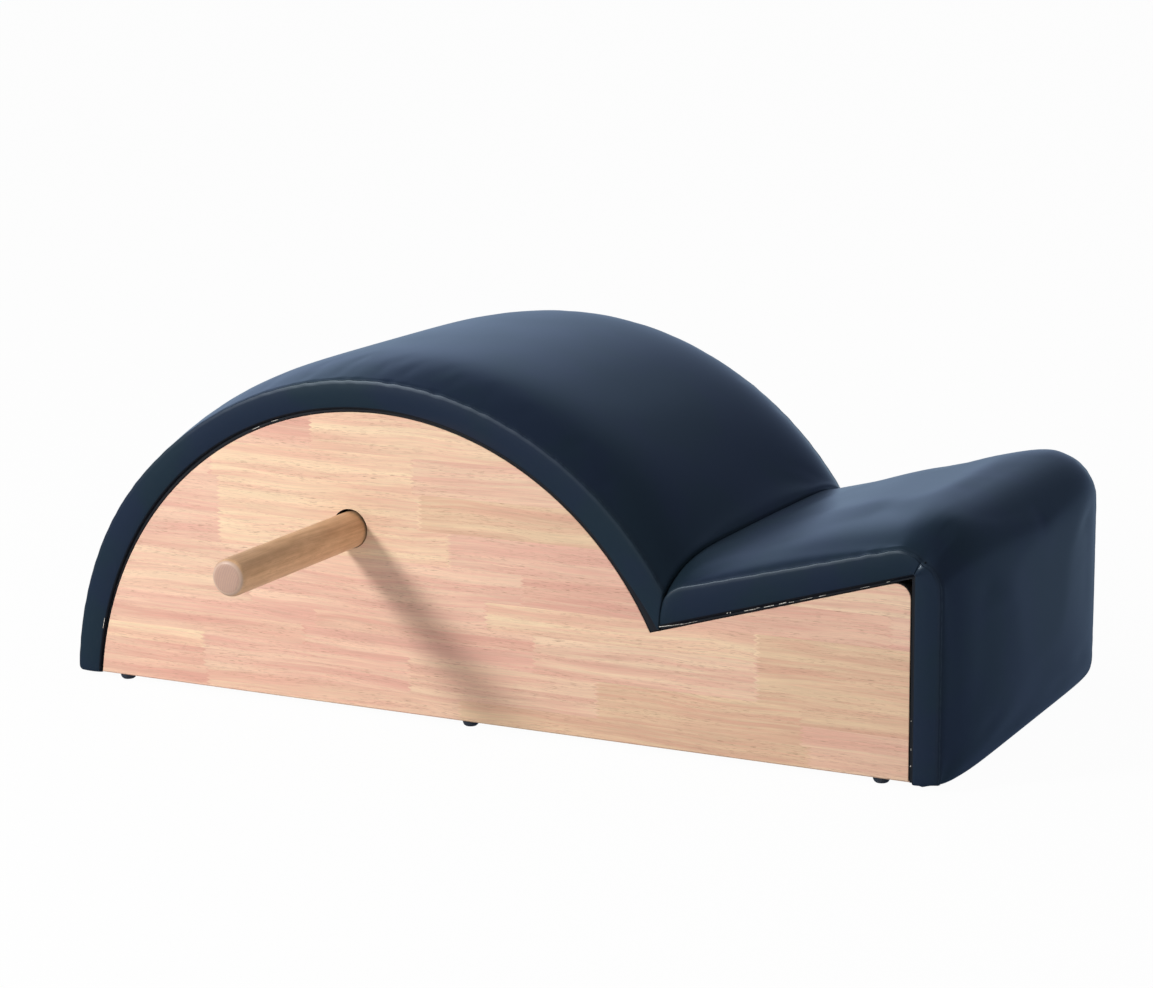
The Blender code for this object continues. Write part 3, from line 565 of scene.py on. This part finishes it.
def sweep_cover(name, length, point, puckers, ends, creases=()):
    """A closed cover swept over a pad's stations, with its held points and its length map.

    point(distance, level, lift) gives (x, z), puckers(distance) is the share of the full
    pucker depth there, and the side bands are folded at each crease. Each of the two ends is
    the reach and depth of the band's turn, the reach and share of the crown's turn, and
    how far the seam's corner is rounded off.
    """
    columns = section_columns()
    rows = stations(length, creases)
    bm = bmesh.new()
    verts = []
    held = []
    for distance in rows:
        to_end = min(distance, length - distance)
        end = ends[0] if distance < length / 2 else ends[1]
        reach, depth, crown_reach, crown_drop, corner = end
        inset = depth * turn_in(to_end, reach)
        rise = 1.0 - crown_drop * turn_in(to_end, crown_reach)
        round_off = corner * max(0.0, 1.0 - to_end / CORNER_REACH) ** 2
        gather = PUCKER_DEPTH * puckers(distance) * ripple(distance)
        fold = sum(bell(distance - crease, FOLD_WIDTH) for crease in creases)
        lap = LAP[0] * sum(bell(distance - crease - LAP[1], LAP[2]) for crease in creases)
        row_verts = []
        for level, lift, y, from_seam, hold in columns:
            past_seam = max(0.0, from_seam)
            if level > 1.0:
                level = 1.0 + (level - 1.0) * rise
            if from_seam > -PUCKER_BELOW:
                lift += gather * bell(from_seam, PUCKER_REACH)
            spread = PLEAT_SPREAD + PLEAT_WIDENING * past_seam
            valley = PLEAT_DEPTH * sum(bell(distance - crease, spread) for crease in creases)
            valley *= FAR_PLEAT if y > 0.0 else 1.0
            lift -= valley * (max(0.0, level) if from_seam < 0.0 else bell(from_seam, PLEAT_REACH))
            rounded = round_off * bell(from_seam, CORNER_SPREAD)
            x, z = point(distance - rounded, level, lift)
            if from_seam < EDGE_REACH and level >= 0.0:
                near_edge = min(1.0, (EDGE_REACH - from_seam) / EDGE_REACH)
                folded = FOLD_DEPTH * fold * (1.0 - FOLD_FADE * min(level, 1.0))
                folded *= max(0.0, 1.0 - past_seam / FOLD_END)
                y -= math.copysign(1.0, y) * near_edge * (inset + folded - lap)
            row_verts.append(bm.verts.new((x, y, z)))
            held.append(hold or to_end < HELD_END)
        verts.append(row_verts)
    uv_map = bm.loops.layers.uv.new("cover")
    width = len(columns)
    for i, (near, far) in enumerate(zip(verts, verts[1:])):
        for j in range(width):
            k = (j + 1) % width
            face = bm.faces.new((near[j], near[k], far[k], far[j]))
            face.smooth = True
            for loop, row, column in zip(face.loops, (i, i, i + 1, i + 1), (j, k, k, j)):
                loop[uv_map].uv = (rows[row], columns[column][3])
    for row_verts in (verts[0], verts[-1]):
        bm.faces.new(row_verts)
    bmesh.ops.triangulate(bm, faces=[face for face in bm.faces if len(face.verts) > 4])
    bmesh.ops.recalc_face_normals(bm, faces=bm.faces)
    mesh = bpy.data.meshes.new(name)
    bm.to_mesh(mesh)
    bm.free()
    piece = bpy.data.objects.new(name, mesh)
    bpy.context.scene.collection.objects.link(piece)
    group = piece.vertex_groups.new(name="held")
    group.add([index for index, hold in enumerate(held) if hold], 1.0, "REPLACE")
    return piece


def swell(piece, cap, evening, calm=()):
    """Blow the cover up against its seams as cloth, and even it out.

    Each point moves by no more than the cap, and hardly at all close to a calm place.
    """
    before = [vert.co.copy() for vert in piece.data.vertices]
    scene = bpy.context.scene
    cloth = piece.modifiers.new("Cloth", "CLOTH")
    settings = cloth.settings
    settings.quality = 4
    settings.vertex_group_mass = "held"
    settings.tension_stiffness = 40.0
    settings.compression_stiffness = 40.0
    settings.shear_stiffness = 20.0
    settings.bending_stiffness = 2.0
    settings.shrink_min = COVER_SHRINK
    settings.use_pressure = True
    settings.uniform_pressure_force = COVER_PRESSURE
    settings.effector_weights.gravity = 0.0
    cloth.collision_settings.use_collision = False
    for step in range(1, CLOTH_FRAMES + 1):
        scene.frame_set(step)
    bpy.ops.object.select_all(action="DESELECT")
    piece.select_set(True)
    bpy.context.view_layer.objects.active = piece
    bpy.ops.object.modifier_apply(modifier=cloth.name)
    scene.frame_set(1)
    for vert, old in zip(piece.data.vertices, before):
        move = vert.co - old
        share = min(1.0, cap / max(move.length, 1e-9))
        for place in calm:
            near = min(1.0, (old - place).length / CALM_REACH)
            share *= near * near * (3.0 - 2.0 * near)
        vert.co = old + move * share
    smooth = piece.modifiers.new("Smooth", "SMOOTH")
    smooth.factor = 0.5
    smooth.iterations = evening
    smooth.vertex_group = "held"
    smooth.invert_vertex_group = True
    bpy.ops.object.modifier_apply(modifier=smooth.name)
    piece.select_set(False)


def arc_range(radius):
    """The angles where a circle about the barrel's centre meets the butt plane and the bottom."""
    rear = math.pi - math.asin((PANEL_BOTTOM - BARREL_DROP - ARC_CENTRE[1]) / radius)
    if radius <= ARC_RADIUS + DECK_TOP:
        return SEAT_ANGLE + math.asin(DECK_BUTT_RISE / radius), rear
    foot = (BUTT_FOOT[0] - ARC_CENTRE[0], BUTT_FOOT[1] - ARC_CENTRE[1])
    lean = (math.sin(BUTT_LEAN), math.cos(BUTT_LEAN))
    lead = foot[0] * lean[0] + foot[1] * lean[1]
    climb = math.sqrt(lead ** 2 + radius ** 2 - (ARC_RADIUS + DECK_TOP) ** 2) - lead
    return math.atan2(foot[1] + climb * lean[1], foot[0] + climb * lean[0]), rear


SEAM_START, SEAM_END = arc_range(ARC_RADIUS + BARREL_BAND)
BARREL_LENGTH = (SEAM_END - SEAM_START) * (ARC_RADIUS + BARREL_BAND)


def local(change, share):
    """How much a local change adds at a share of the length, or at a distance."""
    amount, place, spread = change
    return amount * bell(share - place, spread)


def barrel_point(distance, level, lift):
    """Point of the barrel's cover at a distance from the butt plane."""
    share = distance / BARREL_LENGTH
    taper = max(0.0, (share - REAR_TAPER_START) / (1.0 - REAR_TAPER_START))
    band = BARREL_BAND + (REAR_BAND - BARREL_BAND) * taper ** 2 + local(BAND_THICKER, share)
    crown = BARREL_HEIGHT + local(CROWN_FULLER, share) - local(CROWN_FLATTER, share)
    band -= REAR_TURN[0] * turn_in(BARREL_LENGTH - distance, REAR_TURN[1])
    lip = BARREL_LIP - REAR_LIP_DROP * taper + local(LIP_WIDER, share)
    lip += NOTCH_LIFT * max(0.0, 1.0 - distance / NOTCH_REACH)
    if level < 0.0:
        radius = ARC_RADIUS + DECK_TOP
    elif level <= 1.0:
        radius = ARC_RADIUS + lip + (band - lip) * level + lift
    else:
        radius = ARC_RADIUS + band + (crown - band) * (level - 1.0) + lift
    front, rear = arc_range(radius)
    angle = front + (rear - front) * share
    return ARC_CENTRE[0] + radius * math.cos(angle), ARC_CENTRE[1] + radius * math.sin(angle)


def barrel_puckers(distance):
    """The seam gathers most on the seat's side of the crest."""
    return BARREL_GATHER + local(GATHER_MORE, distance)


VINYL_NAVY = (0.0130, 0.0215, 0.0410, 1.0)
VINYL_TEAL = (0.0125, 0.0245, 0.0360, 1.0)
VINYL_SEAM_HIGHLIGHT = (0.085, 0.145, 0.185, 1.0)
VINYL_SPECULAR = (0.75, 0.88, 1.0, 1.0)
EDGE_WIDTH = (0.0004, 0.0016)
RUBBED_WIDTH = (0.0024, 0.0048)
TURNED_IN_START = (0.0285, 0.0300)

vinyl_finish, shader, (x, y, z) = new_finish("upholstery_vinyl", 0.42)
shader.inputs["Specular Tint"].default_value = VINYL_SPECULAR
map_place = x.node("ShaderNodeUVMap", {"uv_map": "cover"})
length, from_seam = map_place.part(0), map_place.part(1)
clouds = stretched_noise(x, y, z, (9.0, 9.0, 9.0), 3.0)
pebbles = stretched_noise(x, y, z, (1300.0, 1300.0, 1300.0), 2.0)
ticks = stretched_noise(length, from_seam, z * 0.0, (180.0, 4.0, 0.0), 2.0)
edge = 1.0 - abs(from_seam).rise(*EDGE_WIDTH)
rubbed = 1.0 - abs(from_seam).rise(*RUBBED_WIDTH)
# Painted highlight: a pale bluish line along the seam's ridge, broken up by the ticks.
seam_highlight = edge * ticks.rise(0.30, 0.62) * 0.16
colour = seam_highlight.mix(clouds.rise(0.42, 0.58).mix(VINYL_NAVY, VINYL_TEAL), VINYL_SEAM_HIGHLIGHT)
# Painted shade: the cover turned in under the side band is made near black.
turned_in_shade = (from_seam * -1.0).rise(*TURNED_IN_START)
colour = turned_in_shade.mix(colour, GAP_SHADE_BLACK)
connect(shader, Base_Color=colour,
        Roughness=0.27 + clouds * 0.07 + turned_in_shade * 0.4 + rubbed * 0.16,
        Normal=bump(pebbles + ticks * edge * 2.0, 0.10, 0.0003))

BARREL_ENDS = ((0.003, 0.0005, 0.003, 0.12, 0.0), (0.006, 0.0035, 0.026, 1.0, 0.0))
barrel_cover = sweep_cover("barrel_cover", BARREL_LENGTH, barrel_point, barrel_puckers, BARREL_ENDS)
barrel_cover.data.materials.append(vinyl_finish)
swell(barrel_cover, COVER_SWELL, BARREL_EVENING)
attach(barrel_cover, "frame")
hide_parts("barrel_pad")


# The seat's cushion is made the same way. Its cover runs from the butt line up the slope,
# round the tight front corner, where the side band is folded over itself, and down the front.
CORNER = (0.44000, 0.19330)
SEAT_BAND_REAR = 0.0357
SEAT_BAND_FRONT = 0.0276
SEAT_HEIGHT = 0.0568
SEAT_HEIGHT_FRONT = 0.0526
FRONT_BAND = 0.0285
FRONT_DEPTH = 0.0456
FRONT_DROP = 0.0025
BOARD_TOP = 0.0126
BOARD_BEND = 0.0005
BUTT_GAP = 0.0003
SEAT_LIP = (0.0026, 0.0028, 0.0024, 0.0010)
SEAM_BEND = 0.0395
CROWN_BEND = 0.0520
BEND_STEPS = 24
SEAT_REAR_DROP = (0.018, 0.017)
SEAT_FOOT_DROP = (0.003, 0.012)
SEAT_FULLER = (0.0018, 0.140, 0.045)
SEAT_GATHER = 0.5
CORNER_GATHER = (0.9, 0.040)
PLEAT_SHARE = 0.460
SEAT_EVENING = 12


def seat_line(rear_offset, front_offset, before_front, bend):
    """A line from the butt plane along the seat, round the front corner and down to the bottom."""
    lean = (math.sin(BUTT_LEAN), math.cos(BUTT_LEAN))
    climb = rear_offset / math.cos(BUTT_LEAN + SEAT_ANGLE)
    rear = (BUTT_FOOT[0] + BUTT_GAP + climb * lean[0], BUTT_FOOT[1] + climb * lean[1])
    corner_x = CORNER[0] + before_front
    corner_z = CORNER[1] + math.tan(SEAT_ANGLE) * before_front + front_offset / math.cos(SEAT_ANGLE)
    span = math.dist(rear, (corner_x, corner_z))
    way = ((corner_x - rear[0]) / span, (corner_z - rear[1]) / span)
    turn = math.acos(-way[1])
    tangent = bend * math.tan(turn / 2)
    start = (corner_x - way[0] * tangent, corner_z - way[1] * tangent)
    centre = (start[0] + way[1] * bend, start[1] - way[0] * bend)
    points = [rear]
    first = math.atan2(way[0], -way[1])
    for step in range(BEND_STEPS + 1):
        angle = first - turn * step / BEND_STEPS
        points.append((centre[0] + bend * math.cos(angle), centre[1] + bend * math.sin(angle)))
    points.append((corner_x, PANEL_BOTTOM - FRONT_DROP))
    return points


SEAT_LINES = {
    -1.0: seat_line(BOARD_TOP, BOARD_TOP, BOARD_TOP, BOARD_BEND),
    0.0: seat_line(*SEAT_LIP),
    1.0: seat_line(SEAT_BAND_REAR, SEAT_BAND_FRONT, FRONT_BAND, SEAM_BEND),
    2.0: seat_line(SEAT_HEIGHT, SEAT_HEIGHT_FRONT, FRONT_DEPTH, CROWN_BEND)}
SEAM_STOPS = [0.0]
for a, b in zip(SEAT_LINES[1.0], SEAT_LINES[1.0][1:]):
    SEAM_STOPS.append(SEAM_STOPS[-1] + math.dist(a, b))
SEAT_LENGTH = SEAM_STOPS[-1]
PLEAT_DISTANCE = SEAM_STOPS[1] + PLEAT_SHARE * (SEAM_STOPS[-2] - SEAM_STOPS[1])


def on_line(line, distance):
    """The point of a line that goes with a distance along the seam."""
    for stop in range(len(SEAM_STOPS) - 1):
        if distance <= SEAM_STOPS[stop + 1] or stop == len(SEAM_STOPS) - 2:
            share = (distance - SEAM_STOPS[stop]) / (SEAM_STOPS[stop + 1] - SEAM_STOPS[stop])
            a, b = line[stop], line[stop + 1]
            return a[0] + (b[0] - a[0]) * share, a[1] + (b[1] - a[1]) * share


def seat_point(distance, level, lift):
    """Point of the seat's cover at a distance from the butt plane along the seam."""
    lip = on_line(SEAT_LINES[0.0], distance)
    seam = on_line(SEAT_LINES[1.0], distance)
    band = math.dist(lip, seam)
    out = ((seam[0] - lip[0]) / band, (seam[1] - lip[1]) / band)
    drop = SEAT_REAR_DROP[0] * turn_in(distance, SEAT_REAR_DROP[1])
    drop += SEAT_FOOT_DROP[0] * turn_in(SEAT_LENGTH - distance, SEAT_FOOT_DROP[1])
    seam = (seam[0] - out[0] * drop, seam[1] - out[1] * drop)
    if level < 0.0:
        return on_line(SEAT_LINES[-1.0], distance)
    if level <= 1.0:
        start, end, share = lip, seam, level
    else:
        start, end, share = seam, on_line(SEAT_LINES[2.0], distance), level - 1.0
        lift += local(SEAT_FULLER, distance) * share
    x = start[0] + (end[0] - start[0]) * share + out[0] * lift
    z = start[1] + (end[1] - start[1]) * share + out[1] * lift
    return x, z


def seat_puckers(distance):
    """The seam gathers most where the cover turns the front corner."""
    return SEAT_GATHER + CORNER_GATHER[0] * bell(distance - SEAM_STOPS[1], CORNER_GATHER[1])


SEAT_ENDS = ((0.010, 0.0026, 0.004, 0.08, 0.0), (0.006, 0.0030, 0.020, 1.0, 0.0028))
seat_cover = sweep_cover("seat_cover", SEAT_LENGTH, seat_point, seat_puckers, SEAT_ENDS,
                         creases=(PLEAT_DISTANCE,))
seat_cover.data.materials.append(vinyl_finish)
crease_x, crease_z = seat_point(PLEAT_DISTANCE, 1.0, -PLEAT_DEPTH)
pleats = [Vector((crease_x, side * PAD_HALF, crease_z)) for side in (-1, 1)]
swell(seat_cover, COVER_SWELL, SEAT_EVENING, pleats)
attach(seat_cover, "frame")
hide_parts("seat_pad")


# Where the vinyl is cut and folded under, slivers of its pale woven backing show in the gap
# between the side bands and the near panel. Each is a thin strip glued to the fold: its row
# has its middle's x, y and z, its length, its height and its slope in degrees.
SLIVER_THICKNESS = 0.0003
SLIVER_SHOWING = 0.8
BACKING_PALE = (0.720, 0.700, 0.650, 1.0)
BACKING_SOILED = (0.300, 0.270, 0.220, 1.0)
UNDER_LIP = -0.2240
ON_LIP = -0.2263
SLIVERS = (
    (0.2000, ON_LIP, 0.1250, 0.0110, 0.00070, 13.0),
    (0.2115, ON_LIP, 0.1275, 0.0140, 0.00040, 14.0),
    (0.2240, UNDER_LIP, 0.1302, 0.0180, 0.00025, 16.6),
    (0.2635, ON_LIP, 0.1442, 0.0016, 0.00060, 35.0),
    (0.2665, ON_LIP, 0.1450, 0.0012, 0.00050, 60.0),
    (0.2860, ON_LIP, 0.1496, 0.0120, 0.00055, 15.5),
    (0.2940, ON_LIP, 0.1524, 0.0040, 0.00040, 22.0),
    (0.3045, ON_LIP, 0.1550, 0.0100, 0.00060, 17.0),
    (0.3180, ON_LIP, 0.1592, 0.0075, 0.00075, 19.0),
    (0.3265, ON_LIP, 0.1612, 0.0050, 0.00045, 14.0),
    (0.3400, UNDER_LIP, 0.1650, 0.0120, 0.00030, 16.6),
    (0.3565, ON_LIP, 0.1702, 0.0070, 0.00045, 17.5),
    (0.3960, UNDER_LIP, 0.1815, 0.0090, 0.00025, 16.6),
    (0.4190, ON_LIP, 0.1894, 0.0030, 0.00045, 24.0),
    (0.4414, UNDER_LIP, 0.0637, 0.0010, 0.00060, 70.0),
    (0.4416, UNDER_LIP, 0.0375, 0.0018, 0.00055, 95.0),
    (0.4414, UNDER_LIP, 0.0220, 0.0014, 0.00070, 60.0),
    (-0.2200, UNDER_LIP, 0.2850, 0.0085, 0.00050, 18.0),
    (-0.2420, UNDER_LIP, 0.2760, 0.0090, 0.00055, 24.0),
    (-0.4332, ON_LIP, 0.0590, 0.0110, 0.00060, 76.0))

bpy.ops.mesh.primitive_cube_add(size=1.0)
slivers = bpy.context.active_object
slivers.name = "backing_slivers"
bpy.ops.object.mode_set(mode="EDIT")
bpy.ops.mesh.delete(type="VERT")
for sliver_x, sliver_y, sliver_z, length, height, slope in SLIVERS:
    bpy.ops.mesh.primitive_cube_add(
        size=1.0, location=(sliver_x, sliver_y, sliver_z),
        rotation=(0.0, -math.radians(slope), 0.0),
        scale=(length, SLIVER_THICKNESS, SLIVER_SHOWING * height))
bpy.ops.object.mode_set(mode="OBJECT")
backing_finish, shader, (x, y, z) = new_finish("woven_backing", 0.85)
weave = stretched_noise(x, y, z, (900.0, 900.0, 900.0), 2.0)
connect(shader, Base_Color=weave.rise(0.35, 0.60).mix(BACKING_SOILED, BACKING_PALE),
        Normal=bump(weave, 0.4, 0.0002))
slivers.data.materials.append(backing_finish)
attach(slivers, "frame")


# The studio: a pale floor and surround that look white to the camera, and mirrored have a
# bluish sheen that fades across them, one soft key lamp from the upper left in front of the
# near panel, and the camera at the photograph's place.
CAMERA_PLACE = (1.335195, -2.612436, 0.812328)
CAMERA_YAW = -0.4742
CAMERA_PITCH = 0.2097
CAMERA_ROLL = -0.0100
CAMERA_LENS = 92.49
CAMERA_SENSOR = 36.0
KEY_TARGET = Vector((-0.138, -0.330, 0.180))
KEY_WAY = Vector((-0.513, -0.675, 0.530))
KEY_DISTANCE = 3.0
KEY_SIZE = 0.60
KEY_POWER = 77.0
AMBIENT = 0.43
FLOOR_PALE = (0.74, 0.74, 0.74, 1.0)
SHEEN_BRIGHT = (0.460, 0.610, 0.880, 1.0)
SHEEN_DIM = (0.060, 0.086, 0.155, 1.0)
FLOOR_DIM = (0.073, 0.112, 0.205, 1.0)
FLOOR_BRIGHT = (0.445, 0.610, 0.790, 1.0)
FLOOR_BACK = (-0.3, 0.8)
FLOOR_ACROSS = (-0.6, 1.0)
FLOOR_FADE = 0.9
FLOOR_GLOW = 0.97
SHEEN_SIDE = (-0.55, 0.33)
SHEEN_HEIGHT = (0.30, 0.90)
SHEEN_BACK = (0.0, 0.5)
WHITE = (1.0, 1.0, 1.0, 1.0)
FLOOR_HALF = 60.0


def fresh_rays(tree):
    """Empty a node tree. Give a field to start from, what the camera sees, and mirror rays."""
    tree.nodes.clear()
    start = Field(tree)
    seen = start.node("ShaderNodeLightPath", output="Is Camera Ray")
    seen = seen.maths("MAXIMUM", seen, start.node("ShaderNodeLightPath", output="Is Transmission Ray"))
    return start, seen, start.node("ShaderNodeLightPath", output="Is Glossy Ray")


floor_mesh = bpy.data.meshes.new("studio_floor")
corners = [(x * FLOOR_HALF, y * FLOOR_HALF, 0.0) for x, y in ((-1, -1), (1, -1), (1, 1), (-1, 1))]
floor_mesh.from_pydata(corners, [], [(0, 1, 2, 3)])
floor = bpy.data.objects.new("studio_floor", floor_mesh)
bpy.context.scene.collection.objects.link(floor)
floor_finish = bpy.data.materials.new("studio_floor")
floor_finish.use_nodes = True
tree = floor_finish.node_tree
start, seen, mirrored = fresh_rays(tree)
place = start.node("ShaderNodeTexCoord", output="Object")
across, back = place.part(0), place.part(1)
bright = back.rise(*FLOOR_BACK) * (1.0 - across.rise(*FLOOR_ACROSS) * FLOOR_FADE)
sheen = mirrored.mix(WHITE, bright.mix(FLOOR_DIM, FLOOR_BRIGHT))
glow = start.node("ShaderNodeEmission", values={"Color": sheen, "Strength": 1.0})
plain = start.node("ShaderNodeBsdfDiffuse", values={"Color": FLOOR_PALE})
share = seen * FLOOR_GLOW + mirrored
mixed = start.node("ShaderNodeMixShader", values={0: share, 1: plain, 2: glow})
output = tree.nodes.new("ShaderNodeOutputMaterial")
tree.links.new(mixed.socket, output.inputs["Surface"])
floor.data.materials.append(floor_finish)

world = bpy.data.worlds.new("studio")
bpy.context.scene.world = world
world.use_nodes = True
tree = world.node_tree
start, seen, mirrored = fresh_rays(tree)
way = start.node("ShaderNodeTexCoord", output="Generated")
side, back, height = way.part(0), way.part(1), way.part(2)
bright = (1.0 - side.rise(*SHEEN_SIDE)) * (1.0 - height.rise(*SHEEN_HEIGHT)) * back.rise(*SHEEN_BACK)
even = (seen + (1.0 - seen) * AMBIENT).grey()
sheen = mirrored.mix(even, bright.mix(SHEEN_DIM, SHEEN_BRIGHT))
glow = start.node("ShaderNodeBackground", values={"Color": sheen, "Strength": 1.0})
output = tree.nodes.new("ShaderNodeOutputWorld")
tree.links.new(glow.socket, output.inputs["Surface"])

lamp = bpy.data.lights.new("key_lamp", "AREA")
lamp.shape = "SQUARE"
lamp.size = KEY_SIZE
lamp.energy = KEY_POWER
key = bpy.data.objects.new("key_lamp", lamp)
key.location = KEY_TARGET + KEY_WAY * KEY_DISTANCE
key.rotation_euler = KEY_WAY.to_track_quat("Z", "Y").to_euler()
bpy.context.scene.collection.objects.link(key)

lens = bpy.data.cameras.new("camera")
lens.sensor_width = CAMERA_SENSOR
lens.lens = CAMERA_LENS
lens.sensor_fit = "HORIZONTAL"
lens.clip_start = 0.05
lens.clip_end = 60.0
camera = bpy.data.objects.new("camera", lens)
level = math.cos(CAMERA_PITCH)
ahead = Vector((math.sin(CAMERA_YAW) * level, math.cos(CAMERA_YAW) * level, -math.sin(CAMERA_PITCH)))
level_right = Vector((math.cos(CAMERA_YAW), -math.sin(CAMERA_YAW), 0.0))
level_up = level_right.cross(ahead)
right = level_right * math.cos(CAMERA_ROLL) + level_up * math.sin(CAMERA_ROLL)
up = level_up * math.cos(CAMERA_ROLL) - level_right * math.sin(CAMERA_ROLL)
turned = Matrix((right, up, -ahead)).transposed()
camera.matrix_world = Matrix.Translation(CAMERA_PLACE) @ turned.to_4x4()
bpy.context.scene.collection.objects.link(camera)
bpy.context.scene.camera = camera

bpy.context.scene.view_settings.view_transform = "Standard"
